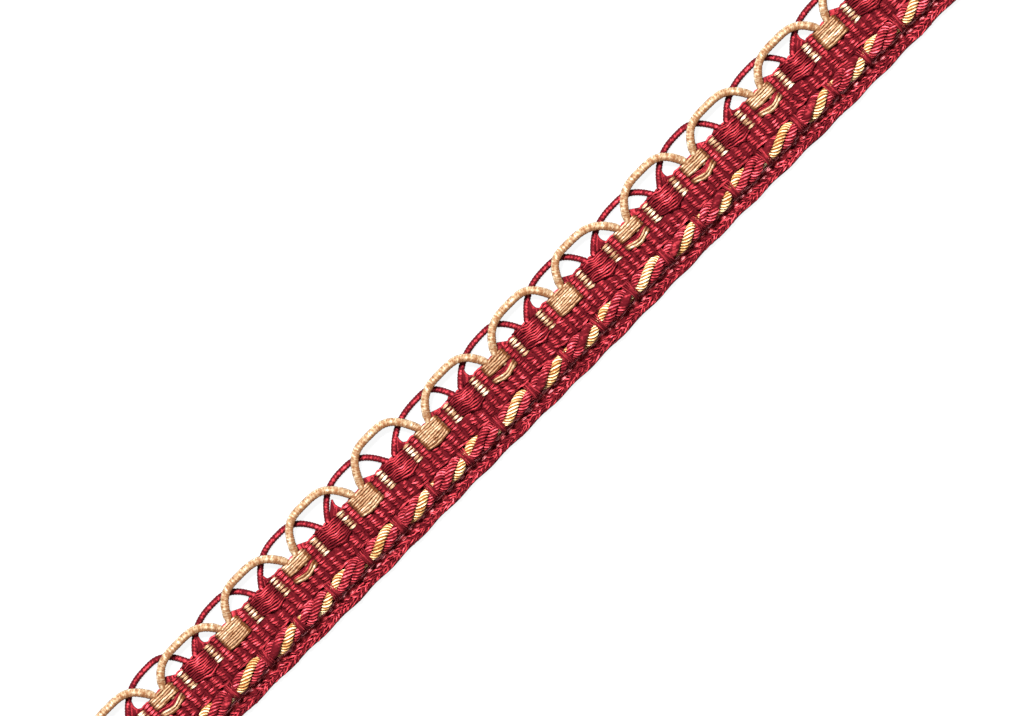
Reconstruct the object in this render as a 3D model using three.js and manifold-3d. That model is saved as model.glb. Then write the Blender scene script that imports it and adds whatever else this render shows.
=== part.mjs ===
// A straight cut length of looped furnishing braid, lying face up. A ribbed woven band carries two
// gimps laid in arches along its upper edge, gold over crimson, and a three-ply twisted cord bound
// down in a trough near its lower edge.
// Millimetres. X runs along the braid, Y across it towards the loops, Z up from its flat underside.

import * as THREE from 'three';
import { mergeVertices } from 'three/addons/utils/BufferGeometryUtils.js';
import Module from 'manifold-3d';

const wasm = await Module();
wasm.setup();
const roundingError = 0.001;

// The weave along the braid: a gold root on every tenth rib, and a crimson root midway between two.
const ribPitch = 1.88;
const ribsPerRepeat = 10;
const repeatCount = 12;
const ribsPastLastRoot = 3;
const repeatLength = ribPitch * ribsPerRepeat;
const ribCount = repeatCount * ribsPerRepeat + 2 * ribsPastLastRoot + 1;
const braidLength = ribCount * ribPitch;
const braidStart = -braidLength / 2;

// Layers that touch lie this far apart.
const clearance = 0.3;

// The band's top face across the braid, a row for each line where its height changes, from the
// looped edge down to the selvedge. A pocket row drops to the pocket floor under each root.
const pocketFloor = 0.8;
const troughFloor = 0.7;
const bandRows = [
  { across: 4.56, valley: 1.0, crest: 1.5, pocket: true, wavy: false },
  { across: 4.15, valley: 1.35, crest: 2.05, pocket: true, wavy: false },
  { across: -0.45, valley: 1.35, crest: 2.05, pocket: true, wavy: false },
  { across: -0.65, valley: 1.35, crest: 2.05, pocket: false, wavy: false },
  { across: -3.9, valley: 1.4, crest: 2.05, pocket: false, wavy: false },
  { across: -4.3, valley: troughFloor, crest: troughFloor, pocket: false, wavy: false },
  { across: -7.8, valley: troughFloor, crest: troughFloor, pocket: false, wavy: false },
  { across: -8.2, valley: 1.2, crest: 1.6, pocket: false, wavy: false },
  { across: -10.3, valley: 1.75, crest: 1.95, pocket: false, wavy: true },
  { across: -11.0, valley: 0.8, crest: 1.0, pocket: false, wavy: true },
];
const loopEdge = bandRows[0].across;
const pocketRibsEachSide = 1;

// The selvedge bulges where each binding turns back, and wanders slowly besides.
const bulgeDepth = 0.26;
const bulgeAfterBinding = 2.3;
const wanderDepth = 0.12;
const wanderLength = 71;

// The gimps. Each dives into the band at a root, under a block of float threads, and comes out again.
const goldGimp = { radius: 0.78, sides: 8, steps: 8, footSpread: 1.4, footHeight: 1.9, loopHeight: 2.42 };
const crimsonGimp = { radius: 0.6, sides: 6, steps: 8, footSpread: 1.0, footHeight: 1.7, loopHeight: 0.66 };
const footDepth = 1.3;
const footLean = 0.3;
const archFullness = 1.7;
const settleStart = 0.25;
const settleEnd = 0.7;

// One row for each arch, from the left: the lean of its apex off its middle, and its outer top across.
const goldArches = [
  { lean: 0.0, top: 10.26 },
  { lean: 0.2, top: 9.44 },
  { lean: -0.4, top: 10.32 },
  { lean: -0.2, top: 11.16 },
  { lean: 0.1, top: 11.64 },
  { lean: 0.7, top: 10.32 },
  { lean: 1.2, top: 10.38 },
  { lean: -1.7, top: 10.48 },
  { lean: 0.8, top: 10.48 },
  { lean: 0.0, top: 10.26 },
  { lean: 0.2, top: 9.76 },
  { lean: -0.3, top: 10.3 },
];
const crimsonArches = [
  { lean: 2.0, top: 10.26 },
  { lean: 1.7, top: 9.88 },
  { lean: 1.6, top: 10.42 },
  { lean: 1.2, top: 10.42 },
  { lean: 3.4, top: 9.88 },
  { lean: 2.6, top: 9.8 },
  { lean: 2.2, top: 10.08 },
  { lean: 2.0, top: 9.36 },
  { lean: 2.0, top: 10.26 },
  { lean: 2.8, top: 9.5 },
  { lean: 2.8, top: 9.5 },
];

// The blocks of float threads over the roots, seen along Y: straight sides under a crown.
const goldPad = { halfWidth: 2.6, shoulder: 1.85, crown: 2.6, reach: 4.7 };
const crimsonPad = { halfWidth: 2.3, shoulder: 1.6, crown: 2.5, reach: 4.7 };
const padBase = pocketFloor + clearance;
const padCrownSteps = 4;

// The twisted cord: three plies in a Z twist, nipped in under each binding.
const cordRadius = 2.0;
const cordValleyRadius = 1.15;
const cordAxis = { across: -6.04, height: troughFloor + clearance + cordRadius };
const cordLay = (2 * repeatLength) / 3;
const plyCount = 3;
const facesPerPly = 3;
const goldPlyOnTopAt = -4.92;
const nipScale = 0.6;

// The bindings: one past each root, gold or crimson, where the ground's weft crosses over the cord.
const bindingPitch = repeatLength / 2;
const bindingOffset = 1.28;
const bindingHalfLength = 0.7;
const bindingThickness = 0.35;
const bindingArcSteps = 4;
const bindingFoot = 0.45;
const bindingPlaces = [];
for (let turn = -repeatCount; turn <= repeatCount; turn += 1) {
  bindingPlaces.push(turn * bindingPitch + bindingOffset);
}

// Where the cord's section is worked out, as distances from each binding up to the next one. The
// last segment at each end of the cord is no shorter than this.
const nipEnd = bindingHalfLength + clearance / 2;
const fullEnd = 2.0;
const endSegment = 0.4;
const cordStationsFromBinding = [-nipEnd, nipEnd, fullEnd, 3.35, 4.7, 6.05, bindingPitch - fullEnd];

function smoothStep(value) {
  const t = Math.min(1, Math.max(0, value));
  return t * t * (3 - 2 * t);
}

function toSolid(geometry) {
  geometry.deleteAttribute('normal');
  geometry.deleteAttribute('uv');
  const merged = mergeVertices(geometry);
  const mesh = new wasm.Mesh({
    numProp: 3,
    vertProperties: Float32Array.from(merged.attributes.position.array),
    triVerts: Uint32Array.from(merged.index.array),
  });
  return new wasm.Manifold(mesh);
}

function joinedGeometry(geometries) {
  const joined = geometries.map(toSolid).reduce((whole, next) => whole.add(next));
  const mesh = joined.getMesh();
  const geometry = new THREE.BufferGeometry();
  geometry.setAttribute('position', new THREE.BufferAttribute(mesh.vertProperties, 3));
  geometry.setIndex(new THREE.BufferAttribute(mesh.triVerts, 1));
  geometry.computeVertexNormals();
  return geometry;
}

// A shape drawn across the braid, as (Y, Z), and drawn out along X from a start.
function extrudeAlongBraid(shape, start, length, steps) {
  const geometry = new THREE.ExtrudeGeometry(shape, { depth: length, steps, bevelEnabled: false });
  const point = geometry.attributes.position;
  for (let i = 0; i < point.count; i += 1) {
    point.setXYZ(i, start + point.getZ(i), point.getX(i), point.getY(i));
  }
  return geometry;
}

function selvedgeShift(x) {
  const fromBulge = x - bindingOffset - bulgeAfterBinding;
  const bulge = Math.cos((2 * Math.PI * fromBulge) / bindingPitch);
  const wander = Math.sin((2 * Math.PI * x) / wanderLength);
  return -bulgeDepth * (0.5 + 0.5 * bulge) - wanderDepth * wander;
}

// Half-rib columns: an even one is the valley between two ribs, an odd one is a rib's crest.
function columnIsInPocket(column) {
  const nearestRoot = Math.round((column - ribCount) / ribsPerRepeat) * ribsPerRepeat + ribCount;
  return Math.abs(column - nearestRoot) <= 2 * pocketRibsEachSide + 1;
}

function bandGroundGeometry() {
  const corners = bandRows.map((row) => new THREE.Vector2(row.across, row.valley));
  const lastRow = bandRows[bandRows.length - 1];
  corners.push(new THREE.Vector2(lastRow.across, 0), new THREE.Vector2(loopEdge, 0));
  const geometry = extrudeAlongBraid(new THREE.Shape(corners), braidStart, braidLength, 2 * ribCount);
  const point = geometry.attributes.position;
  for (let i = 0; i < point.count; i += 1) {
    const x = point.getX(i);
    const across = point.getY(i);
    const row = bandRows.find((candidate) => Math.abs(candidate.across - across) < roundingError);
    if (row.wavy) {
      point.setY(i, across + selvedgeShift(x));
    }
    if (point.getZ(i) > 0) {
      const column = Math.round((x - braidStart) / (ribPitch / 2));
      const ribHeight = column % 2 === 1 ? row.crest : row.valley;
      const inPocket = row.pocket && columnIsInPocket(column);
      point.setZ(i, inPocket ? pocketFloor : ribHeight);
    }
  }
  return geometry;
}

// A strap of weft over the nipped cord, with both feet sunk in the band.
function bindingGeometry(x) {
  const inner = (cordRadius * nipScale + clearance) / Math.cos(Math.PI / (2 * bindingArcSteps));
  const outer = inner + bindingThickness;
  const arc = (radius, backwards) => {
    const points = [new THREE.Vector2(cordAxis.across + radius, bindingFoot)];
    for (let i = 0; i <= bindingArcSteps; i += 1) {
      const angle = (Math.PI * i) / bindingArcSteps;
      const y = cordAxis.across + radius * Math.cos(angle);
      const z = cordAxis.height + radius * Math.sin(angle);
      points.push(new THREE.Vector2(y, z));
    }
    points.push(new THREE.Vector2(cordAxis.across - radius, bindingFoot));
    return backwards ? points.reverse() : points;
  };
  const strap = new THREE.Shape([...arc(outer, false), ...arc(inner, true)]);
  return extrudeAlongBraid(strap, x - bindingHalfLength, 2 * bindingHalfLength, 1);
}

function bandGeometry() {
  return joinedGeometry([bandGroundGeometry(), ...bindingPlaces.map(bindingGeometry)]);
}

// A block of float threads: a crowned section in (X, Z), reaching back from the looped edge.
function padGeometry(pad, x) {
  const section = new THREE.Shape();
  section.moveTo(-pad.halfWidth, padBase);
  section.lineTo(pad.halfWidth, padBase);
  section.lineTo(pad.halfWidth, pad.shoulder);
  for (let i = 1; i <= padCrownSteps; i += 1) {
    const angle = (Math.PI * i) / padCrownSteps;
    const rise = (pad.crown - pad.shoulder) * Math.sin(angle);
    section.lineTo(pad.halfWidth * Math.cos(angle), pad.shoulder + rise);
  }
  const geometry = new THREE.ExtrudeGeometry(section, { depth: pad.reach, bevelEnabled: false });
  geometry.rotateX(Math.PI / 2);
  geometry.translate(x, loopEdge, 0);
  return geometry;
}

// The middle line of one arch, from inside one pad over its apex and into the next.
function archCurve(gimp, arch, leftRoot, rightRoot) {
  const leftFoot = leftRoot + gimp.footSpread;
  const rightFoot = rightRoot - gimp.footSpread;
  const apexX = (leftRoot + rightRoot) / 2 + arch.lean;
  const rise = arch.top - gimp.radius - loopEdge;
  const points = [new THREE.Vector3(leftFoot - footLean, loopEdge - footDepth, gimp.footHeight)];
  for (let i = 0; i <= gimp.steps; i += 1) {
    const angle = (Math.PI * i) / gimp.steps;
    const foot = Math.cos(angle) > 0 ? leftFoot : rightFoot;
    const out = Math.abs(Math.cos(angle)) ** (2 / archFullness);
    const up = Math.sin(angle) ** (2 / archFullness);
    const settle = smoothStep((Math.sin(angle) - settleStart) / (settleEnd - settleStart));
    const height = gimp.footHeight + (gimp.loopHeight - gimp.footHeight) * settle;
    points.push(new THREE.Vector3(apexX + (foot - apexX) * out, loopEdge + rise * up, height));
  }
  points.push(new THREE.Vector3(rightFoot + footLean, loopEdge - footDepth, gimp.footHeight));
  return new THREE.CatmullRomCurve3(points);
}

function roundSection(radius, sides) {
  const points = [];
  for (let i = 0; i < sides; i += 1) {
    const angle = (2 * Math.PI * i) / sides;
    points.push(new THREE.Vector2(radius * Math.cos(angle), radius * Math.sin(angle)));
  }
  return new THREE.Shape(points);
}

function loopedGimpGeometry(gimp, arches, pad, firstRoot) {
  const pieces = [padGeometry(pad, firstRoot)];
  arches.forEach((arch, i) => {
    const leftRoot = firstRoot + i * repeatLength;
    const rightRoot = leftRoot + repeatLength;
    const path = archCurve(gimp, arch, leftRoot, rightRoot);
    const section = roundSection(gimp.radius, gimp.sides);
    const options = { steps: gimp.steps + 2, extrudePath: path, bevelEnabled: false };
    pieces.push(new THREE.ExtrudeGeometry(section, options));
    pieces.push(padGeometry(pad, rightRoot));
  });
  return joinedGeometry(pieces);
}

function cordStations() {
  const stations = [braidStart];
  for (const place of [bindingPlaces[0] - bindingPitch, ...bindingPlaces]) {
    for (const offset of cordStationsFromBinding) {
      const x = place + offset;
      if (Math.abs(x) < braidLength / 2 - endSegment) {
        stations.push(x);
      }
    }
  }
  stations.push(braidLength / 2);
  return stations;
}

function nipAt(x) {
  const fromBinding = Math.min(...bindingPlaces.map((place) => Math.abs(x - place)));
  return nipScale + (1 - nipScale) * smoothStep((fromBinding - nipEnd) / (fullEnd - nipEnd));
}

// A unit cylinder whose points are moved out to three lobes that turn along the cord.
function cordGeometry() {
  const stations = cordStations();
  const faces = plyCount * facesPerPly;
  const segments = stations.length - 1;
  const geometry = new THREE.CylinderGeometry(1, 1, segments, faces, segments);
  const point = geometry.attributes.position;
  for (let i = 0; i < point.count; i += 1) {
    const x = stations[Math.round(point.getY(i) + segments / 2)];
    const away = Math.round(Math.hypot(point.getX(i), point.getZ(i)));
    const face = Math.round((Math.atan2(point.getZ(i), point.getX(i)) * faces) / (2 * Math.PI));
    const betweenPlies = ((face % facesPerPly) + facesPerPly) % facesPerPly === 0;
    const radius = away * nipAt(x) * (betweenPlies ? cordValleyRadius : cordRadius);
    const turned = (2 * Math.PI * (goldPlyOnTopAt - x)) / cordLay;
    const angle = Math.PI / 2 + Math.PI / plyCount + turned - (face * 2 * Math.PI) / faces;
    const y = cordAxis.across + radius * Math.cos(angle);
    point.setXYZ(i, x, y, cordAxis.height + radius * Math.sin(angle));
  }
  return geometry;
}

const crimsonYarn = { color: '#9c3038', roughness: 0.85, metalness: 0 };
const goldYarn = { color: '#cda576', roughness: 0.75, metalness: 0 };

const braid = new THREE.Group();

function addPiece(name, geometry, finish) {
  const piece = new THREE.Mesh(geometry, new THREE.MeshStandardMaterial(finish));
  piece.name = name;
  braid.add(piece);
}

const firstGoldRoot = (-repeatCount / 2) * repeatLength;
const firstCrimsonRoot = firstGoldRoot + repeatLength / 2;

addPiece('woven_band', bandGeometry(), crimsonYarn);
addPiece('gold_loop_gimp', loopedGimpGeometry(goldGimp, goldArches, goldPad, firstGoldRoot), goldYarn);
addPiece(
  'crimson_loop_gimp',
  loopedGimpGeometry(crimsonGimp, crimsonArches, crimsonPad, firstCrimsonRoot),
  crimsonYarn,
);
addPiece('twisted_cord', cordGeometry(), crimsonYarn);

export default braid;
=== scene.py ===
# A straight cut length of looped furnishing braid in crimson and gold, lying face up on a pale
# floor. It is put together as the real one is woven: the ribbed ground, the warps, the two looped
# gimps, the twisted cord and its bindings, the selvedge. Lengths are in millimetres until a piece's
# mesh is made, and in metres after that.
import math

import bpy
import numpy as np
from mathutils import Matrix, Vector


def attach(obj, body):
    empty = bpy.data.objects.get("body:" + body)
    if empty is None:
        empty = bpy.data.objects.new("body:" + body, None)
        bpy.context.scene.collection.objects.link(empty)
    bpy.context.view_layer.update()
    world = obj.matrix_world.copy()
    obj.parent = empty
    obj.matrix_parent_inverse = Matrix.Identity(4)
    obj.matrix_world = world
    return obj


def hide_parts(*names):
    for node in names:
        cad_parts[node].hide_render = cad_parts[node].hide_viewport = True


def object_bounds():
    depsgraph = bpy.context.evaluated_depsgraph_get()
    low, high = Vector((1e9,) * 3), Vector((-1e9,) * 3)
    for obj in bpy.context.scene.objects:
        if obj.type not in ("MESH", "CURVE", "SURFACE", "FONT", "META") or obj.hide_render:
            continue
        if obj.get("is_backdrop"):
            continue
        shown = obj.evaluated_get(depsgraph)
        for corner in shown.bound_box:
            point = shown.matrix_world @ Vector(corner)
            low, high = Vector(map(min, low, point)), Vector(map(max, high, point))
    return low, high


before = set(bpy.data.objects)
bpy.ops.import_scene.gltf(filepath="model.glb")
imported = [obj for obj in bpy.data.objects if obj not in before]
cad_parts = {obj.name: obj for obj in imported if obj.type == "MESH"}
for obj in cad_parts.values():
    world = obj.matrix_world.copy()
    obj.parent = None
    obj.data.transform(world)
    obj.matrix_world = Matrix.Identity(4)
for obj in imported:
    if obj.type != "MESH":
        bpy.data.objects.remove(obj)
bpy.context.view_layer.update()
bpy.ops.object.select_all(action="DESELECT")

# The camera looks straight down through a long lens, rolled so that the braid runs from the lower
# left corner of the picture to the upper right, with its loops on the upper left side.
MM = 0.001
picture_width = 207.2 * MM
picture_centre = (3.88 * MM, 0.62 * MM)
braid_slope = math.radians(45.16)
lens = 200.0
sensor = 36.0
camera_height = picture_width * lens / sensor

bpy.ops.object.camera_add(
    location=(*picture_centre, camera_height),
    rotation=(0, 0, -braid_slope),
)
camera = bpy.context.object
camera.data.lens = lens
camera.data.sensor_width = sensor
camera.data.clip_end = 10 * camera_height
bpy.context.scene.camera = camera

# A plain pale floor that reaches past every view. It is a light table: it glows a little, so that
# shadows on it stay faint, and throws no light back onto the braid.
floor_size = 6.0
floor_grey = 0.08
floor_glow = 0.91
bpy.ops.mesh.primitive_plane_add(size=floor_size, location=(0, 0, 0))
floor = bpy.context.object
floor.name = "floor"
floor_paper = bpy.data.materials.new("floor_paper")
floor_paper.use_nodes = True
paper = floor_paper.node_tree.nodes["Principled BSDF"]
paper.inputs["Base Color"].default_value = (floor_grey, floor_grey, floor_grey, 1)
paper.inputs["Roughness"].default_value = 0.9
paper.inputs["Specular IOR Level"].default_value = 0.1
paper.inputs["Emission Color"].default_value = (1, 1, 1, 1)
paper.inputs["Emission Strength"].default_value = floor_glow
floor.data.materials.append(floor_paper)
floor.visible_diffuse = False
floor.visible_glossy = False
floor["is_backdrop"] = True

# Soft studio light: a large lamp over the looped side, a weaker one opposite, and an even surround.
# Both lamps face the middle of the braid.
def add_softbox(name, place, size, power):
    bpy.ops.object.light_add(type="AREA", location=place)
    lamp = bpy.context.object
    lamp.name = name
    lamp.data.shape = "SQUARE"
    lamp.data.size = size
    lamp.data.energy = power
    lamp.rotation_euler = (-lamp.location).to_track_quat("-Z", "Y").to_euler()


add_softbox("key_softbox", place=(0.15, 0.62, 1.2), size=0.36, power=62.0)
add_softbox("fill_softbox", place=(-0.3, -0.9, 1.0), size=1.0, power=5.0)
surround_strength = 0.15
surround = bpy.data.worlds.new("surround")
bpy.context.scene.world = surround
surround.use_nodes = True
background = surround.node_tree.nodes["Background"]
background.inputs["Color"].default_value = (1, 1, 1, 1)
background.inputs["Strength"].default_value = surround_strength
bpy.context.scene.view_settings.view_transform = "Standard"

# The ribbed ground: crimson wefts lying side by side across the braid, ten to a repeat, packed so
# close that each shows as a rib on both faces. Seen only between the warps and at the edge, where
# each weft turns round the last warp. Ribs are counted from the gold root in the middle.
rib_pitch = 1.88
ribs_per_repeat = 10
last_rib = 63
repeat = rib_pitch * ribs_per_repeat
half_length = (last_rib + 0.5) * rib_pitch
binding_pitch = repeat / 2
binding_offset = 1.28


# Every yarn here is dyed rayon floss: lustrous, with a fine twist of filaments that shows as
# slanting lines, and a dye that varies a little along each thread and from one to the next.
def dyed_yarn(name, deep, bright, pale, roughness, gloss, fleck):
    twist_pitch = 0.32
    twist_depth = 0.05 * MM
    filaments_round = 5.0
    clouds_per_metre = 1300.0
    material = bpy.data.materials.new(name)
    material.use_nodes = True
    nodes = material.node_tree.nodes
    link = material.node_tree.links.new
    surface = nodes["Principled BSDF"]
    surface.inputs["Roughness"].default_value = roughness
    surface.inputs["Specular IOR Level"].default_value = gloss
    surface.inputs["Sheen Weight"].default_value = 0.04
    surface.inputs["Sheen Roughness"].default_value = 0.35
    surface.inputs["Sheen Tint"].default_value = (*pale, 1)

    # The filaments are a low relief that slants round the thread.
    run = nodes.new("ShaderNodeUVMap")
    run.uv_map = "yarn"
    split = nodes.new("ShaderNodeSeparateXYZ")
    link(run.outputs["UV"], split.inputs["Vector"])
    around = nodes.new("ShaderNodeMath")
    around.operation = "MULTIPLY"
    around.inputs[1].default_value = filaments_round
    link(split.outputs["Y"], around.inputs[0])
    turns = nodes.new("ShaderNodeMath")
    turns.operation = "MULTIPLY_ADD"
    turns.inputs[1].default_value = 1 / twist_pitch
    link(split.outputs["X"], turns.inputs[0])
    link(around.outputs["Value"], turns.inputs[2])
    filament = nodes.new("ShaderNodeMath")
    filament.operation = "PINGPONG"
    filament.inputs[1].default_value = 0.5
    link(turns.outputs["Value"], filament.inputs[0])
    relief = nodes.new("ShaderNodeBump")
    relief.inputs["Strength"].default_value = 0.5
    relief.inputs["Distance"].default_value = twist_depth
    link(filament.outputs["Value"], relief.inputs["Height"])
    link(relief.outputs["Normal"], surface.inputs["Normal"])

    # The dye goes from deep to pale with the thread's shade, its flecks and a cloudy unevenness.
    # The shade carries painted shade and painted highlights as well as the dye's own tone.
    place = nodes.new("ShaderNodeTexCoord")
    cloudy = nodes.new("ShaderNodeTexNoise")
    cloudy.inputs["Scale"].default_value = clouds_per_metre
    cloudy.inputs["Detail"].default_value = 4.0
    cloudy.inputs["Roughness"].default_value = 0.65
    link(place.outputs["Object"], cloudy.inputs["Vector"])
    shade = nodes.new("ShaderNodeAttribute")
    shade.attribute_name = "shade"
    stretch = nodes.new("ShaderNodeMapping")
    stretch.inputs["Scale"].default_value = (1.5, 5.0, 1.0)
    link(run.outputs["UV"], stretch.inputs["Vector"])
    flecks = nodes.new("ShaderNodeTexNoise")
    flecks.noise_dimensions = "2D"
    flecks.inputs["Scale"].default_value = 1.0
    flecks.inputs["Detail"].default_value = 2.0
    link(stretch.outputs["Vector"], flecks.inputs["Vector"])
    flecked = nodes.new("ShaderNodeMath")
    flecked.operation = "MULTIPLY_ADD"
    flecked.inputs[1].default_value = fleck
    link(flecks.outputs["Fac"], flecked.inputs[0])
    link(shade.outputs["Fac"], flecked.inputs[2])
    uneven = nodes.new("ShaderNodeMath")
    uneven.operation = "ADD"
    link(cloudy.outputs["Fac"], uneven.inputs[0])
    link(flecked.outputs["Value"], uneven.inputs[1])
    dye = nodes.new("ShaderNodeValToRGB")
    dye.color_ramp.elements[0].position = 0.15
    dye.color_ramp.elements[0].color = (*deep, 1)
    dye.color_ramp.elements[1].position = 1.0
    dye.color_ramp.elements[1].color = (*pale, 1)
    middle = dye.color_ramp.elements.new(0.66)
    middle.color = (*bright, 1)
    link(uneven.outputs["Value"], dye.inputs["Fac"])
    link(dye.outputs["Color"], surface.inputs["Base Color"])
    link(dye.outputs["Color"], surface.inputs["Specular Tint"])
    return material


# The ground's weft is the crimson floss made darker and matte: painted shade, for the ground lies in the
# hollows under the warps.
shaded_crimson_weft = dyed_yarn(
    "shaded_crimson_weft",
    deep=(0.070, 0.005, 0.008),
    bright=(0.21, 0.014, 0.018),
    pale=(0.42, 0.045, 0.055),
    roughness=0.85,
    gloss=0.1,
    fleck=0.5,
)


# Threads are gathered into one mesh for each piece. Its yarn map holds the millimetres along a
# thread and the share of a turn round it, and its shade makes the dye deeper or paler: the dye's own
# random tone together with painted shade and painted highlights.
def make_threads(name, threads, material):
    points, corners, starts, yarn, shades = [], [], [], [], []
    first = 0
    corner = 0
    for item in threads:
        points.append(item["points"])
        shades.append(item["shade"])
        corners.append(first + item["quads"].reshape(-1))
        yarn.append(item["map"].reshape(-1, 2))
        starts.append(corner + 4 * np.arange(len(item["quads"])))
        corner += 4 * len(item["quads"])
        for cap, where in item["caps"]:
            corners.append(first + cap)
            yarn.append(np.full((len(cap), 2), [where, 0.5]))
            starts.append(np.array([corner]))
            corner += len(cap)
        first += len(item["points"])
    points = np.concatenate(points) * MM
    corners = np.concatenate(corners)
    starts = np.concatenate(starts)
    mesh = bpy.data.meshes.new(name)
    mesh.vertices.add(len(points))
    mesh.vertices.foreach_set("co", points.astype(np.float32).ravel())
    mesh.loops.add(len(corners))
    mesh.loops.foreach_set("vertex_index", corners.astype(np.int32))
    mesh.polygons.add(len(starts))
    mesh.polygons.foreach_set("loop_start", starts.astype(np.int32))
    mesh.update(calc_edges=True)
    yarn_map = mesh.uv_layers.new(name="yarn")
    yarn_map.data.foreach_set("uv", np.concatenate(yarn).astype(np.float32).ravel())
    shade_values = mesh.attributes.new("shade", "FLOAT", "POINT")
    shade_values.data.foreach_set("value", np.concatenate(shades).astype(np.float32))
    mesh.shade_smooth()
    mesh.validate()
    mesh.materials.append(material)
    piece = bpy.data.objects.new(name, mesh)
    bpy.context.scene.collection.objects.link(piece)
    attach(piece, "root")
    return piece


def faces_round(rings, sides):
    i = np.arange(rings - 1)[:, None]
    j = np.arange(sides)[None, :]
    k = (j + 1) % sides
    faces = [i * sides + j, i * sides + k, (i + 1) * sides + k, (i + 1) * sides + j]
    return np.stack(faces, axis=-1).reshape(-1, 4)


def end_faces(rings, sides, start, end):
    ring = np.arange(sides)
    return [(ring[::-1], start), ((rings - 1) * sides + ring, end)]


def smooth_step(value):
    t = np.clip(value, 0, 1)
    return t * t * (3 - 2 * t)


# The selvedge bulges a little past each binding, and wanders slowly along the braid.
def selvedge_shift(x):
    bulge = 0.5 + 0.5 * np.cos(2 * np.pi * (x - binding_offset - 2.3) / binding_pitch)
    return -0.26 * bulge - 0.12 * np.sin(2 * np.pi * x / 71)


# Each row of the ground's section: place across, height in the valleys, height on the ribs, and
# how far it follows the wavy selvedge. The first rows lie under the figures.
ground_section = (
    (4.50, 0.90, 1.20, 0), (4.42, 0.95, 1.55, 0), (4.20, 0.95, 1.72, 0), (2.0, 0.95, 1.72, 0),
    (0.2, 0.95, 1.72, 0), (-0.4, 0.95, 1.72, 0), (-3.9, 0.95, 1.72, 0), (-4.2, 0.9, 1.2, 0),
    (-4.4, 0.72, 0.8, 0), (-7.2, 0.8, 0.95, 0), (-7.8, 1.2, 1.5, 0), (-8.3, 1.2, 1.6, 0),
    (-9.2, 1.05, 1.5, 0.3), (-10.2, 1.3, 1.6, 0.8), (-10.65, 1.2, 1.35, 1), (-10.85, 0.8, 0.9, 1),
    (-10.75, 0.45, 0.4, 1), (-10.3, 0.5, 0.22, 0.8), (-9.2, 0.6, 0.3, 0.3), (-4.0, 0.6, 0.3, 0),
    (0.0, 0.6, 0.3, 0), (4.1, 0.6, 0.3, 0), (4.4, 0.7, 0.6, 0),
)
rows_under_figures = 5
stations_per_rib = 8
pocket_depth = 0.5
edge_ripple = 0.16
place, valley, rib_top, follows = np.array(ground_section).T
stations = np.linspace(-half_length, half_length, (2 * last_rib + 1) * stations_per_rib + 1)
rib_swell = np.abs(np.cos(np.pi * stations / rib_pitch))[:, None] ** 1.1
ground_points = np.empty((len(stations), len(place), 3))
ground_points[..., 0] = stations[:, None]
ground_points[..., 1] = place + follows * selvedge_shift(stations)[:, None]
ground_points[..., 2] = valley + (rib_top - valley) * rib_swell

# The figures press the ground down at every root, gold or crimson, half a repeat apart.
from_root = np.abs((stations + repeat / 4) % (repeat / 2) - repeat / 4)[:, None]
pocket = 1 - smooth_step((from_root - 1.2 * rib_pitch) / (0.6 * rib_pitch))
ground_points[:, :rows_under_figures, 2] -= pocket_depth * pocket * rib_swell
edge_turn = np.clip((place - 3.9) / 0.6, 0, 1)
ground_points[..., 1] += edge_ripple * edge_turn * (rib_swell - 0.6)

# Painted shade makes the ground deep, deeper between the ribs; painted light lifts it in the cord's shadow.
gutter_painted_light = (place < -6.5) & (place > -9.0)
ground_points = ground_points.reshape(-1, 3)
ground_quads = faces_round(len(stations), len(place))
spread = ground_points[ground_quads]
ground_threads = [{
    "points": ground_points,
    "quads": ground_quads,
    "map": np.stack([spread[..., 1], spread[..., 0] / rib_pitch], axis=-1).reshape(-1, 8),
    "caps": end_faces(len(stations), len(place), 0.0, 0.0),
    "shade": (-0.55 - 0.12 * (1 - rib_swell) + 0.3 * gutter_painted_light).reshape(-1),
}]
ground = make_threads("ribbed_ground", ground_threads, shaded_crimson_weft)
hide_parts("woven_band")

# The plain weave below the figures: crimson warps of two strands each, over and under the ribs by
# turns, but for the row beside the cord, which goes in longer floats. The puffs press the first
# rows down. Where a warp is under, it shows on the back, so the back is woven too.
crimson_floss = dyed_yarn(
    "crimson_floss",
    deep=(0.075, 0.005, 0.008),
    bright=(0.40, 0.034, 0.044),
    pale=(0.80, 0.13, 0.165),
    roughness=0.45,
    gloss=0.4,
    fleck=0.5,
)
float_gap = 0.38
crossing_height = 0.78
back_height = 0.2
samples_per_rib = 6
ribs = np.arange(-last_rib, last_rib + 1)
chance = np.random.default_rng(11)


def lie_of(path, up=(0, 0, 1)):
    tangent = np.gradient(path, axis=0)
    tangent /= np.linalg.norm(tangent, axis=1)[:, None]
    side = np.cross(np.broadcast_to(np.asarray(up, float), path.shape), tangent)
    side /= np.linalg.norm(side, axis=1)[:, None]
    top = np.cross(tangent, side)
    steps = np.linalg.norm(np.diff(path, axis=0), axis=1)
    along = np.concatenate([[0], np.cumsum(steps)])
    return along, side, top


# A thread is laid along a path with a round section. Its radius and its shade are the same all
# along it or given point by point, and painted shade deepens it towards its sides and underside.
def thread(path, radius, sides, shade, up=(0, 0, 1), underside=0.5):
    along, side, top = lie_of(path, up)
    turn = 2 * np.pi * np.arange(sides) / sides
    reach = np.broadcast_to(np.asarray(radius, float).reshape(-1, 1), (len(path), sides))
    points = (
        path[:, None, :]
        + (reach * np.cos(turn))[..., None] * side[:, None, :]
        + (reach * np.sin(turn))[..., None] * top[:, None, :]
    )
    near, far, low = np.broadcast_arrays(along[:-1, None], along[1:, None], np.arange(sides) / sides)
    high = low + 1 / sides
    shades = np.broadcast_to(np.asarray(shade, float).reshape(-1, 1), (len(path), 1))
    return {
        "points": points.reshape(-1, 3),
        "quads": faces_round(len(path), sides),
        "map": np.stack([near, low, near, high, far, high, far, low], axis=-1).reshape(-1, 8),
        "caps": end_faces(len(path), sides, along[0], along[-1]),
        "shade": (shades - underside * (0.5 - 0.5 * np.sin(turn))).reshape(-1),
    }


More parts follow.
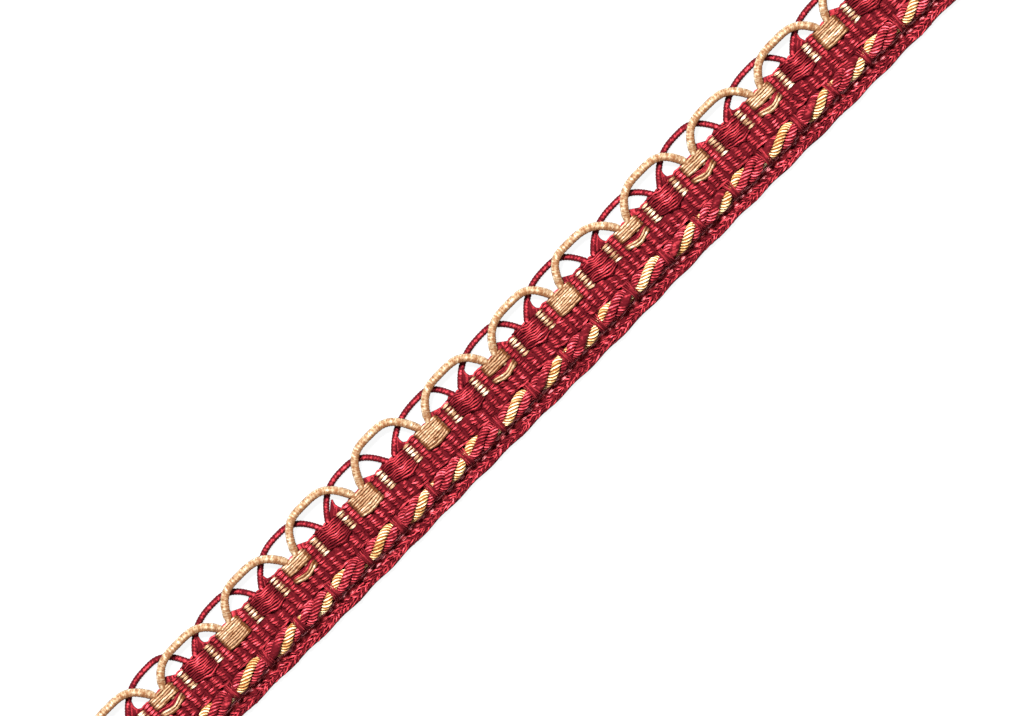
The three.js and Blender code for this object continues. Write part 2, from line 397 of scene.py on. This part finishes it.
# The two strands of one warp. It has a height for each rib that it goes over, and none for a rib
# that it goes under. The strands part over the ribs, close up between them and roll a little.
def warp_pair(
    across, heights, slant, phase, tone, crown, radius,
    painted_depth_shade=0.6, underside=0.8, jitter=0.06, bead_gap=0.24,
):
    at = np.arange(0, len(ribs) * samples_per_rib + 1) / samples_per_rib - 0.5
    rib = np.clip(np.floor(at + 0.5).astype(int), 0, len(ribs) - 1)
    part = at - rib
    over = ~np.isnan(heights)
    level = np.where(over, heights, back_height)
    neighbour = np.clip(rib + np.where(part < 0, -1, 1), 0, len(ribs) - 1)
    same = over[rib] == over[neighbour]
    bend = (1 - np.cos(np.pi * np.abs(part))) / 2
    staying = level[rib] + (level[neighbour] - level[rib]) * bend
    starts = np.flatnonzero(np.diff(over.astype(int))) + 1
    bounds = np.concatenate([[0], starts, [len(ribs)]])
    run = np.clip(np.searchsorted(bounds, rib, side="right") - 1, 0, len(bounds) - 2)
    middle = (bounds[run] + bounds[run + 1] - 1) / 2
    length = bounds[run + 1] - bounds[run]
    curve = np.where(length > 2, 0.9, crown)
    level = level + np.where(over, chance.uniform(-0.1, 0.06, len(ribs)), 0)
    crown_shape = np.abs(np.cos(np.pi * part)) ** curve
    crossing = crossing_height + (level[rib] - crossing_height) * crown_shape
    z = np.where(same, staying, crossing)

    sway = np.sin(np.pi * np.clip((at - middle) / length, -0.5, 0.5))
    x = (at - last_rib) * rib_pitch
    nudge = np.interp(at, np.arange(len(ribs)), chance.uniform(-2, 2, len(ribs)) * jitter)
    x = x + nudge * (np.abs(x) < half_length - 1)
    rib_slant = chance.uniform(-0.4, 2.2, len(ribs))[rib]
    drift = 0.05 * np.sin(x * 0.9 + phase) + 0.04 * np.sin(x * 2.3 + 2.1 * phase)
    y = across + drift + np.where(over[rib], -slant, slant) * rib_slant * sway
    y = y + np.interp(x, (ribs + 0.5) * rib_pitch, chance.uniform(-jitter, jitter, len(ribs)))
    roll = 0.35 * np.sin(x * 1.1 + 1.7 * phase) + 0.25 * np.sin(x * 3.1 + phase)

    rib_tone = chance.uniform(-0.28, 0.22, len(ribs))[rib]
    taper = 0.6 + 0.4 * np.clip((z - crossing_height) / 1.2, 0, 1)
    gap = np.where(length > 2, float_gap, bead_gap)
    kept = over[rib] | (np.arange(len(at)) % (samples_per_rib // 2) == 0)
    pair = []
    for side in (-0.5, 0.5):
        wander = 0.03 * np.sin(x * 3.9 + phase + 3 * side)
        lift = chance.uniform(-0.06, 0.06)
        apart = side * gap * taper
        strand_y = y + apart * np.cos(roll) + wander
        strand_z = z + lift + apart * np.sin(roll) * 0.7
        path = np.stack([x, strand_y, strand_z], axis=1)
        # Painted light and shade: paler where a strand lies higher, deeper where it dives to a crossing.
        shade = tone + 2 * lift + rib_tone + 0.06 * np.sin(x * 0.37 + 5 * side + phase)
        shade = shade - painted_depth_shade * np.clip((2.0 - z) / 1.1, 0, 1)
        strand_radius = (radius * taper)[kept]
        pair.append(thread(path[kept], strand_radius, 6, shade=shade[kept], underside=underside))
    return pair


plain_top = -0.20
plain_pitch = 0.296
plain_rows = 13
plain_face = 1.98
plain_warps = []


def plain_height(row, k):
    from_puff = abs((k + ribs_per_repeat) % ribs_per_repeat - 5)
    if row == plain_rows - 1:
        return plain_face if (k + 1) % 3 else np.nan
    if (k + row) % 2:
        return np.nan
    if row < 2 and from_puff <= 2:
        return plain_face - 0.42
    if row in (2, 3) and from_puff <= 1:
        return plain_face - 0.3
    return plain_face


for row in range(plain_rows):
    plain_warps += warp_pair(
        across=plain_top - (row + 0.5) * plain_pitch,
        heights=[plain_height(row, k) for k in ribs],
        slant=0.16,
        phase=row * 1.3,
        tone=-0.02,
        crown=1.0,
        radius=0.125,
        underside=1.1,
        jitter=0.08,
        bead_gap=0.17,
    )
plain_weave = make_threads("plain_weave_warps", plain_warps, crimson_floss)

# The gutter between the cord and the selvedge: two rows of dull, flecked crimson warps over single
# ribs, and two long threads that lie loose along the foot of the cord.
gutter_floss = dyed_yarn(
    "gutter_floss",
    deep=(0.09, 0.007, 0.009),
    bright=(0.32, 0.035, 0.040),
    pale=(0.66, 0.22, 0.24),
    roughness=0.6,
    gloss=0.2,
    fleck=1.5,
)
gutter_top = -8.35
gutter_pitch = 0.42
gutter_face = 1.72
loose_places = (-7.72, -8.02)
gutter_warps = []
for row in range(2):
    gutter_warps += warp_pair(
        across=gutter_top - gutter_pitch * row,
        heights=[gutter_face if (k + row) % 2 else np.nan for k in ribs],
        slant=0.06,
        phase=row * 1.9 + 0.7,
        tone=-0.25,
        crown=1.0,
        radius=0.16,
    )
for y in loose_places:
    x = np.linspace(-half_length, half_length, 400)
    path = np.stack([x, y + 0.06 * np.sin(x * 0.8 + y), 1.5 + 0.18 * np.sin(x * 1.1 + 5 * y)], axis=1)
    gutter_warps.append(thread(path, 0.16, 6, shade=-0.35 + 0.3 * np.sin(x * 2.3 + 7 * y)))
gutter = make_threads("gutter_warps", gutter_warps, gutter_floss)

# The warps of the figures, along the looped edge. Between the roots, gold ones show over single
# ribs beside each crimson root, and crimson ones over single ribs beside each gold root. At the
# edge itself every weft turns back and shows as a short crimson bow.
gold_floss = dyed_yarn(
    "gold_floss",
    deep=(0.13, 0.042, 0.014),
    bright=(0.43, 0.265, 0.15),
    pale=(0.80, 0.66, 0.51),
    roughness=0.42,
    gloss=0.3,
    fleck=0.7,
)
figure_edge = 4.42
figure_pitch = 0.76
figure_rows = 6
ribs_from_gold_root = np.abs((ribs + 5) % ribs_per_repeat - 5)
gold_heights = np.where(ribs_from_gold_root == 3, 2.05, np.nan)
crimson_heights = np.where(ribs_from_gold_root == 2, 2.02, np.nan)
gold_warps = []
crimson_warps = []
for row in range(figure_rows):
    gold_warps += warp_pair(
        across=figure_edge - (row + 0.5) * figure_pitch,
        heights=gold_heights,
        slant=0.05,
        phase=row * 2.1 + 0.4,
        tone=-0.02,
        crown=1.0,
        radius=0.17,
        painted_depth_shade=0.5,
        underside=0.7,
        jitter=0.04,
    )
    crimson_warps += warp_pair(
        across=figure_edge - (row + 0.5) * figure_pitch,
        heights=crimson_heights,
        slant=0.03,
        phase=row * 1.7 + 2.2,
        tone=-0.02,
        crown=1.3,
        radius=0.15,
        jitter=0.08,
    )
bow_reach = 0.98
bow_steps = np.linspace(-1, 1, 9)
for k in ribs:
    top = 4.62 + chance.uniform(-0.1, 0.08)
    x = np.clip(k * rib_pitch + bow_reach * bow_steps, -half_length, half_length)
    y = top - 0.22 * bow_steps ** 2 + 0.05 * np.sin(5 * bow_steps + k)
    z = 1.32 + 0.1 * np.cos(2.2 * bow_steps + k)
    shade = -0.1 + chance.uniform(-0.25, 0.2)
    crimson_warps.append(thread(np.stack([x, y, z], axis=1), 0.2, 6, shade=shade, underside=0.8))
gold_figure = make_threads("gold_single_warps", gold_warps, gold_floss)
crimson_figure = make_threads("crimson_single_warps", crimson_warps, crimson_floss)

# The floats over each gold root: gold warps lying side by side over three ribs, a lower one under
# every bright one, painted darker as the shade beneath it. At most roots they part in a slit where
# crimson shows, and the lowest two sag below it.
gold_roots = [(i - 6) * repeat for i in range(13)]
slit_sizes = (0.6, 1.0, 0.25, 1.0, 0.45, 0.45, 1.0, 0.1, 1.1, 1.2, 1.1, 0.1, 0.8)
float_reach = 1.62 * rib_pitch
float_steps = np.linspace(-1, 1, 15)
float_flank = 0.25
float_end = 1.0
gold_float_height = 2.4
slit_height = 1.88
slit_strands = 4


def float_thread(root, y, height, dip, radius, shade, bend=0.0):
    x = root + float_reach * float_steps + 0.06 * math.sin(7 * y + root)
    arch = np.abs(float_steps)
    shoulder = height - float_flank
    end = smooth_step((arch - 0.78) / 0.22)
    z = height - float_flank * smooth_step(arch / 0.8) - (shoulder - float_end) * end
    across = y - dip * np.cos(np.pi * float_steps / 2) ** 2 + bend * np.sin(np.pi * float_steps)
    across = across + 0.05 * np.sin(5 * float_steps + 3.1 * y + root)
    # Painted shade: a float is deeper where it dives into the weave at its ends.
    low = -0.5 * np.clip((shoulder - z) / 0.5, 0, 1)
    speckle = 0.07 * np.sin(9 * float_steps + 5 * y + 2 * root)
    path = np.stack([x, across, z], axis=1)
    return thread(path, radius, 7, shade=shade + low + speckle, underside=0.9)


gold_floats = []
slit_threads = []
for root, size in zip(gold_roots, slit_sizes):
    rows_above_slit = 5 if size > 0.5 else 7
    rows = [(4.3 - 0.49 * n - 0.03 * size * n, 0.02 * n * size) for n in range(rows_above_slit)]
    rows += [(0.98 - 0.04 * size, 0.1 + 0.6 * size), (0.42 - 0.06 * size, 0.12 + 0.62 * size)]
    for y, dip in rows:
        shade = chance.uniform(-0.24, 0.12)
        height = gold_float_height + chance.uniform(-0.06, 0.04)
        bend = chance.uniform(-0.06, 0.03)
        gold_floats.append(float_thread(root, y, height, dip, 0.22, shade - 0.2, bend))
        gold_floats.append(float_thread(root, y - 0.22, height - 0.2, dip, 0.2, shade - 0.55))
    for n in range(slit_strands):
        y = 1.9 - 0.27 * n * (0.5 + 0.5 * size) - 0.1 * size
        shade = chance.uniform(-0.8, -0.15)
        bend = 0.14 * (n - 1.5)
        slit_threads.append(float_thread(root, y, slit_height, 0.5 * size, 0.17, shade, bend))
gold_root_floats = make_threads("gold_root_floats", gold_floats, gold_floss)

# The puffs: crimson warps heaped over three ribs at each crimson root, slanting down to the right,
# the lowest two hanging round the foot of the heap. The crimson threads that show in the slits of
# the gold floats are of the same floss and belong to this piece.
crimson_roots = [(i - 5.5) * repeat for i in range(12)]
puff_rows = 10
puff_hang = {8: 0.2, 9: 0.45}
puff_threads = []
for root in crimson_roots:
    heap = chance.uniform(0.9, 1.1)
    lean = chance.uniform(0.16, 0.34)
    for n in range(puff_rows):
        y = 4.28 - 0.475 * n + chance.uniform(-0.05, 0.05)
        x = root + float_reach * float_steps
        away = (x - root - 0.2) / 1.9
        swell = np.exp(-away ** 2 * (1.5 - 0.5 * np.sign(away)))
        mound = 1.78 + heap * swell * (0.82 if n in puff_hang else 1.0)
        end = smooth_step((np.abs(float_steps) - 0.84) / 0.16)
        z = mound - (mound - float_end) * end + chance.uniform(-0.07, 0.07)
        hang = puff_hang.get(n, 0.0)
        slope = -lean * np.tanh(1.6 * (x - root + 0.5)) - 0.08 * float_steps
        across = y + slope + 0.08 * np.sin(2.4 * (x - root) + 1.3 * n + root)
        across = across + hang * (float_steps ** 2 - 0.5)
        # Painted light and shade: a puff's thread is paler high on the heap and deeper on its flanks and
        # ends.
        painted_height_light = np.clip((z - 1.75) / 0.95, 0, 1)
        shade = -0.62 + 0.52 * painted_height_light + chance.uniform(-0.2, 0.2)
        shade = shade + 0.08 * np.sin(6 * float_steps + 2 * n + root)
        path = np.stack([x, across, z], axis=1)
        puff_threads.append(thread(path, 0.18, 7, shade=shade, underside=1.0))
puffs = make_threads("crimson_puffs", puff_threads + slit_threads, crimson_floss)

# The gold gimp: a stiff core in a braided cover of gold floss, laid in arches from one gold root to
# the next. Its feet go down into the weave under the gold floats, which hold them. Each arch has
# its own lean along the braid and its own top.
gold_gimp_floss = dyed_yarn(
    "gold_gimp_floss",
    deep=(0.19, 0.08, 0.034),
    bright=(0.36, 0.262, 0.16),
    pale=(0.72, 0.60, 0.475),
    roughness=0.5,
    gloss=0.25,
    fleck=1.3,
)
loop_edge = 4.56
gold_gimp = {"radius": 0.86, "foot_spread": 1.2, "foot_height": 1.9, "loop_height": 2.48, "fullness": 3.5}
gold_arches = (
    (0.0, 10.26), (0.2, 9.44), (-0.4, 10.32), (-0.2, 11.16), (0.1, 11.64), (0.7, 10.32),
    (1.2, 10.38), (-1.7, 10.48), (0.8, 10.48), (0.0, 10.26), (0.2, 9.76), (-0.3, 10.3),
)


# A wound thread is a core wrapped round with finer threads side by side. Its mesh lines follow the
# wrapping, so every wrap is one clean ridge: so many starts, a pitch from wrap to wrap, a ridge's
# height, and so many fine steps to a wrap. Over that lies a braided cover's lattice, by its painted
# shade and highlight (braid), its height (relief), the cells round it and the length of a cell.
def wound(
    path, radius, sides, starts, pitch, ridge, fine, shade, groove, underside, tones,
    handed=1, sharp=0.8, scale=None, ridge_scale=None,
    braid=0.0, relief=0.0, cells=1, cell_length=1.0, inside=0.0,
):
    along, side, top = lie_of(path)
    length = along[-1]
    step = pitch / fine
    shift = fine * starts
    count = int(length / step) + shift + 1
    n = np.arange(count)[:, None]
    j = np.arange(sides)[None, :]
    free = (n - shift * j / sides) * step
    s = np.clip(free, 0, length)

    def at(values):
        return np.stack([np.interp(s, along, values[:, axis]) for axis in range(3)], axis=-1)

    # The surface: ridges of the wrapping, the lattice of the cover, and places worn bare.
    centre = at(path)
    profile = np.sin(np.pi * (n % fine) / fine) ** sharp
    depth = ridge if ridge_scale is None else ridge * ridge_scale(centre[..., 0])
    strayed = free + 0.1 * np.sin(2.9 * free) + 0.07 * np.sin(6.7 * free + 4 * np.pi * j / sides)
    astray = cells * j / sides + 0.04 * np.sin(4.3 * free)
    lattice = np.cos(4 * np.pi * strayed / cell_length) + np.cos(4 * np.pi * astray)
    lattice = np.clip(lattice, -1.5, 0.7)
    reach = radius - depth * (1 - profile) + relief * lattice
    if scale is not None:
        reach = reach * scale(centre)
    reach = np.broadcast_to(reach, (count, sides))
    angle = -np.pi / 2 + handed * 2 * np.pi * j / sides
    sideways = (reach * np.cos(angle))[..., None] * at(side)
    points = centre + sideways + (reach * np.sin(angle))[..., None] * at(top)

    # The shade: painted shade in the grooves, underneath and on the side that faces inwards, and deeper where
    # worn bare.
    # The braid's lattice adds painted shade in its gaps and a painted highlight on its crossings.
    tone = chance.uniform(-tones, tones, count // fine + 1)[n // fine]
    wrapped = depth / ridge
    shades = shade + tone - groove * (1 - profile) * wrapped - 0.7 * (1 - wrapped)
    shades = shades - underside * (0.5 - 0.5 * np.sin(angle))
    shades = shades + braid * lattice - inside * (0.5 - 0.5 * np.cos(angle))

    # The faces follow the wrapping, and a seam joins its last column to the first, one lap on.
    i = np.arange(count - 1)[:, None]
    j = j[:, :-1]
    body = [i * sides + j, i * sides + j + 1, (i + 1) * sides + j + 1, (i + 1) * sides + j]
    seam = np.arange(shift, count - 1)
    last = sides - 1
    lap = seam - shift
    join = np.stack([seam * sides + last, lap * sides, (lap + 1) * sides, (seam + 1) * sides + last], axis=-1)
    quads = np.concatenate([np.stack(body, axis=-1).reshape(-1, 4), join])
    if handed < 0:
        quads = quads[:, [1, 0, 3, 2]]
    column = quads % sides / sides
    free_at = (quads // sides) * step - shift * step * column
    column[-len(join):, (1, 2) if handed > 0 else (0, 3)] = 1.0
    keep = (free_at.max(axis=1) > 0) & (free_at.min(axis=1) < length)
    quads, column, free_at = quads[keep], column[keep], free_at[keep]

    # The two cut ends are closed a little inside the wrapping.
    ends = []
    caps = []
    circle = 2 * np.pi * np.arange(sides) / sides
    for number, where in ((0, 0.0), (1, length)):
        middle = np.array([np.interp(where, along, path[:, axis]) for axis in range(3)])
        lie = [np.interp(where, along, side[:, axis]) for axis in range(3)]
        rise = [np.interp(where, along, top[:, axis]) for axis in range(3)]
        grow = 1.0 if scale is None else float(scale(middle))
        disc = np.outer(np.cos(circle), lie) + np.outer(np.sin(circle), rise)
        ends.append(middle + radius * 0.97 * grow * disc)
        order = np.arange(sides) if number else np.arange(sides)[::-1]
        caps.append(((count + number) * sides + order, where))
    return {
        "points": np.concatenate([points.reshape(-1, 3)] + ends),
        "quads": quads,
        "map": np.stack([free_at, column], axis=-1).reshape(-1, 8),
        "caps": caps,
        "shade": np.concatenate([shades.reshape(-1), np.full(2 * sides, shade - 0.1)]),
    }


# One arch of a gimp, from root to root: a full curve that flattens at the top and drops steeply to
# both feet, which then dive into the weave.
def arch_path(gimp, lean, top, left_root, right_root):
    left = left_root + gimp["foot_spread"]
    right = right_root - gimp["foot_spread"]
    apex = (left_root + right_root) / 2 + lean
    rise = top - gimp["radius"] - loop_edge
    along = np.linspace(-1, 1, 241)
    foot = np.where(along < 0, left, right)
    out = np.abs(along) ** 1.3
    up = 1 - out ** gimp["fullness"]
    settle = smooth_step((up - 0.1) / 0.45)
    height = gimp["foot_height"] + (gimp["loop_height"] - gimp["foot_height"]) * settle
    path = np.stack([apex + (foot - apex) * out, loop_edge + rise * up, height], axis=1)
    dive = np.linspace(0, 1, 24)[1:, None]
    straight = 0 * dive
    left_dive = np.concatenate([straight, -3.1 * dive, -0.4 * smooth_step(dive * 3)], axis=1)
    right_dive = np.concatenate([straight, -3.0 * dive, -0.8 * smooth_step(dive * 1.6)], axis=1)
    return np.concatenate([(path[0] + left_dive)[::-1], path, path[-1] + right_dive])


# The gimp is thinner at its feet, where the floats squeeze it, and fullest low in the arch.
def gold_thickness(centre):
    y = centre[..., 1]
    fuller = 0.26 * smooth_step((y - 4.2) / 1.3)
    slimmer = 0.06 * smooth_step((y - 6.5) / 2.0)
    squeezed = 0.3 * smooth_step((2.0 - y) / 0.6)
    return 0.8 + fuller - slimmer - squeezed


gold_loops = []
for (lean, top), left_root, right_root in zip(gold_arches, gold_roots, gold_roots[1:]):
    # Painted shade darkens each arch underneath and on its inward side, and in the gaps of its braid.
    loop = wound(
        arch_path(gold_gimp, lean, top, left_root, right_root),
        radius=gold_gimp["radius"],
        sides=24,
        starts=5,
        pitch=0.48,
        ridge=0.05,
        fine=3,
        shade=-0.38,
        groove=0.1,
        underside=0.8,
        tones=0.08,
        scale=gold_thickness,
        braid=0.17,
        relief=0.04,
        cells=3,
        cell_length=1.3,
        inside=0.6,
    )
    y = loop["points"][:, 1]
    in_shadow = smooth_step((4.9 - y) / 0.5) * smooth_step((y - 2.6) / 0.5)
    loop["shade"] = loop["shade"] - 0.45 * in_shadow
    gold_loops.append(loop)
gold_loop_gimp = make_threads("gold_gimp_loops", gold_loops, gold_gimp_floss)
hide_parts("gold_loop_gimp")

# The crimson gimp: thinner, also with a braided cover, half a repeat along and laid flat under the
# gold arches. Its feet go down under the crimson puffs.
crimson_ply_floss = dyed_yarn(
    "crimson_ply_floss",
    deep=(0.075, 0.005, 0.008),
    bright=(0.38, 0.034, 0.044),
    pale=(0.80, 0.13, 0.165),
    roughness=0.45,
    gloss=0.4,
    fleck=1.1,
)
crimson_gimp = {"radius": 0.66, "foot_spread": 1.0, "foot_height": 1.7, "loop_height": 0.72, "fullness": 2.8}
crimson_arches = (
    (2.0, 10.26), (1.7, 9.88), (1.6, 10.42), (1.2, 10.42), (3.4, 9.88), (2.6, 9.8),
    (2.2, 10.08), (2.0, 9.36), (2.0, 10.26), (2.8, 9.5), (2.8, 9.5),
)
crimson_loops = []
for (lean, top), left_root, right_root in zip(crimson_arches, crimson_roots, crimson_roots[1:]):
    # The strong underside paints deep shade along both edges of the gimp.
    crimson_loops.append(wound(
        arch_path(crimson_gimp, lean, top, left_root, right_root),
        radius=crimson_gimp["radius"],
        sides=12,
        starts=3,
        pitch=0.6,
        ridge=0.08,
        fine=4,
        shade=-0.6,
        groove=0.2,
        underside=3.4,
        tones=0.12,
        braid=0.2,
        relief=0.03,
        cells=2,
        cell_length=1.7,
    ))
crimson_loop_gimp = make_threads("crimson_gimp_loops", crimson_loops, crimson_ply_floss)
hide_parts("crimson_loop_gimp")

# The webs: where a crimson loop leaves its root to the right, a stray crimson warp runs up beside
# it and back to the edge, with a few floats strung between the two. A smaller one stands at the
# left of the root.
web_reach = (1.0, 1.0, 0.75, 1.15, 1.0, 1.0, 1.05, 1.1, 0.9, 0.85, 1.15, 1.0)
web_strings = 8
left_stray = ((-1.25, 5.9, 1.0), (-1.6, 5.2, 1.2), (-2.2, 4.7, 1.2), (-3.2, 4.4, 1.0))
left_inner = ((-1.3, 5.2, 1.1), (-1.7, 4.6, 1.3), (-2.2, 4.2, 1.2))
web_threads = []


# A smooth path through a few places, given from the root.
def soft_curve(root, places, steps):
    knots = np.array([(root + x, y, z) for x, y, z in places])
    padded = np.concatenate([[2 * knots[0] - knots[1]], knots, [2 * knots[-1] - knots[-2]]])
    pieces = []
    for p0, p1, p2, p3 in zip(padded, padded[1:], padded[2:], padded[3:]):
        t = np.linspace(0, 1, steps, endpoint=False)[:, None]
        square = (2 * p0 - 5 * p1 + 4 * p2 - p3) * t ** 2
        cube = (3 * p1 - p0 - 3 * p2 + p3) * t ** 3
        pieces.append(0.5 * (2 * p1 + (p2 - p0) * t + square + cube))
    return np.concatenate(pieces + [knots[-1:]])


for root, reach in zip(crimson_roots, web_reach):
    right_stray = (
        (3.9 * reach, 7.0, 0.8), (3.72 * reach, 6.35, 1.1), (3.62 * reach, 5.7, 1.3),
        (3.8 * reach, 5.0, 1.4), (4.6, 4.35, 1.2),
    )
    web_threads.append(thread(soft_curve(root, right_stray, 5), 0.26, 7, shade=-0.4))
    for n in range(web_strings):
        low = (1.4 + 0.38 * n, 4.25 + 0.04 * n, 1.45)
        high = ((3.7 + 0.03 * n) * reach, 6.8 - 0.3 * n, 1.1)
        middle = (
            (low[0] + high[0]) / 2,
            (low[1] + high[1]) / 2 + chance.uniform(0.0, 0.14),
            1.5 + chance.uniform(-0.1, 0.1),
        )
        shade = -0.8 + chance.uniform(-0.3, 0.6)
        path = soft_curve(root, (low, middle, high), 5)
        web_threads.append(thread(path, 0.19, 6, shade=shade, underside=0.9))
    web_threads.append(thread(soft_curve(root, left_stray, 5), 0.3, 7, shade=-0.5))
    web_threads.append(thread(soft_curve(root, left_inner, 5), 0.28, 7, shade=-0.45))

# A lower shoulder of the same warps stands at the right of each gold root.
shoulder_heights = (1.2, 1.5, 1.1, 1.15, 1.1, 0.8, 1.7, 1.3, 1.6, 1.25, 1.0, 1.2, 1.1)
shoulder_strands = 10
for root, rise in zip(gold_roots, shoulder_heights):
    for n in range(shoulder_strands):
        top = 4.5 + rise * (1 - 0.115 * n)
        low = (1.9 + 0.28 * n, 4.2, 1.5)
        high = (1.9 + 0.28 * n + 0.25, top, 1.25)
        crest = (1.9 + 0.28 * (n + 2.4), top - 0.25 * rise, 1.2)
        shade = -0.45 + chance.uniform(-0.3, 0.45)
        path = soft_curve(root, (low, high, crest), 4)
        web_threads.append(thread(path, 0.2, 6, shade=shade, underside=0.9))
webs = make_threads("crimson_root_webs", web_threads, crimson_floss)

# The twisted cord: one gold ply and two crimson ones, each wrapped with floss, laid in the trough
# near the other edge. The bindings pinch it. The wrapping of one crimson ply is worn flat in places.
gold_ply_floss = dyed_yarn(
    "gold_ply_floss",
    deep=(0.19, 0.06, 0.014),
    bright=(0.54, 0.305, 0.115),
    pale=(0.86, 0.71, 0.45),
    roughness=0.42,
    gloss=0.3,
    fleck=0.8,
)
cord_across = -6.04
cord_height = 3.0
cord_lay = 2 * repeat / 3
ply_radius = 0.95
ply_circle = 1.05
gold_on_top = -4.92
bare_patches = (-85, -71.8, 2.6, 16.2, 27.6, 41.4, 54.6, 68.6, 80, 93.8)


def nip(x):
    away = np.abs((x - binding_offset + binding_pitch / 2) % binding_pitch - binding_pitch / 2)
    return 0.7 + 0.3 * smooth_step((away - 0.6) / 1.9)


def nip_scale(centre):
    return 0.2 + 0.8 * nip(centre[..., 0])


def bare(x):
    worn = np.zeros_like(x)
    for patch in bare_patches:
        worn = np.maximum(worn, 1 - smooth_step((np.abs(x - patch) - 1.2) / 0.9))
    return 1 - 0.85 * worn


def ply_path(share):
    x = np.arange(-half_length, half_length + 0.01, 0.2)
    slip = 0.73 * np.cos(2 * np.pi * (x - 0.4) / (2 * repeat))
    angle = np.pi / 2 - 2 * np.pi * ((x - slip - gold_on_top) / cord_lay + share)
    y = cord_across + ply_circle * nip(x) * np.cos(angle)
    z = cord_height + ply_circle * nip(x) * np.sin(angle)
    return np.stack([x, y, z], axis=1)


def make_ply(name, share, material, shade, worn=None):
    # Painted shade darkens the grooves between wraps and each ply's underside; the bare places are worn.
    ply = wound(
        ply_path(share),
        radius=ply_radius,
        sides=14,
        starts=5,
        pitch=0.78,
        ridge=0.34,
        fine=6,
        shade=shade,
        groove=1.25,
        underside=0.6,
        tones=0.26,
        handed=-1,
        sharp=1.5,
        scale=nip_scale,
        ridge_scale=worn,
    )
    return make_threads(name, [ply], material)


gold_ply = make_ply("gold_ply", 0.0, gold_ply_floss, shade=0.1)
near_ply = make_ply("crimson_ply_left", 1 / 3, crimson_ply_floss, shade=-0.24, worn=bare)
far_ply = make_ply("crimson_ply_right", -1 / 3, crimson_ply_floss, shade=-0.24)
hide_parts("twisted_cord")

# The bindings: every fifth rib, a few crimson wefts come up side by side over the cord and pull it
# down into its trough.
last_binding = 12
binding_strands = 5
binding_angle = np.linspace(math.radians(-55), math.radians(235), 27)
binding_threads = []
for m in range(-last_binding, last_binding + 1):
    for n in range(binding_strands):
        from_middle = n - 2
        reach = 1.62 + 0.05 * math.sin(2.4 * m + 1.9 * n)
        lean = 0.16 * math.sin(1.7 * m + n) * np.cos(binding_angle)
        fan = from_middle * 0.1 * np.abs(np.cos(binding_angle))
        tuck = 0.5 * np.clip(-np.sin(binding_angle), 0, 1)
        x = binding_offset + binding_pitch * m + from_middle * 0.27 + lean + fan
        y = cord_across + (reach + 0.18 * np.abs(np.cos(binding_angle))) * np.cos(binding_angle)
        z = np.maximum(cord_height + reach * np.sin(binding_angle) - tuck, 0.9)
        # Painted shade: the bindings are deep, as the shade in the pinch, and deeper on the side away from
        # the key lamp.
        shade = -0.5 + 0.16 * math.sin(3 * m + 2 * n) - 0.15 * np.clip(-np.cos(binding_angle), 0, 1)
        path = np.stack([x, y, z], axis=1)
        binding_threads.append(thread(path, 0.16, 6, shade=shade, up=(1, 0, 0), underside=0))
bindings = make_threads("cord_bindings", binding_threads, crimson_floss)

# The selvedge: crimson threads plaited side by side round the turns of the wefts, over an edge that
# bulges a little past each binding.
plait_strands = 8
plait_pitch = 1.9
plait_across = -9.1
plait_width = 1.5
plait_height = 1.68
plait_threads = []
x = np.linspace(-half_length, half_length, 880)
knots = np.arange(0, 260) * plait_pitch / 2 - half_length - 1
for n in range(plait_strands):
    share = n / (plait_strands - 1)
    outermost = n == plait_strands - 1
    over = 1 if n >= plait_strands // 2 else -1
    stray = np.interp(x, knots, chance.uniform(-2.2, 2.2, len(knots)))
    sway = np.interp(x, knots, chance.uniform(0.06, 0.4, len(knots))) * (0.5 if outermost else 1.0)
    turn = 2 * np.pi * x / plait_pitch + np.pi * n + stray
    y = plait_across - plait_width * share + (0.3 + 0.65 * share) * selvedge_shift(x)
    y = y + sway * np.sin(turn)
    z = plait_height - 0.12 * share ** 2 + 0.17 * over * np.cos(turn)
    radius = 0.15 + np.interp(x, knots, chance.uniform(-0.03, 0.03, len(knots)))
    tone = np.interp(x, knots, chance.uniform(-0.55, 0.3, len(knots)))
    # Painted shade: a strand is paler on top of a crossing and deeper under it, and the outermost strand is
    # deeper.
    shade = -0.4 + tone + 0.36 * over * np.cos(turn) - 0.15 * outermost
    path = np.stack([x, y, z], axis=1)
    plait_threads.append(thread(path, radius, 6, shade=shade, underside=0.8))
selvedge = make_threads("selvedge_plait", plait_threads, crimson_floss)

# The box round every piece that renders, leaving out the floor.
low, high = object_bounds()
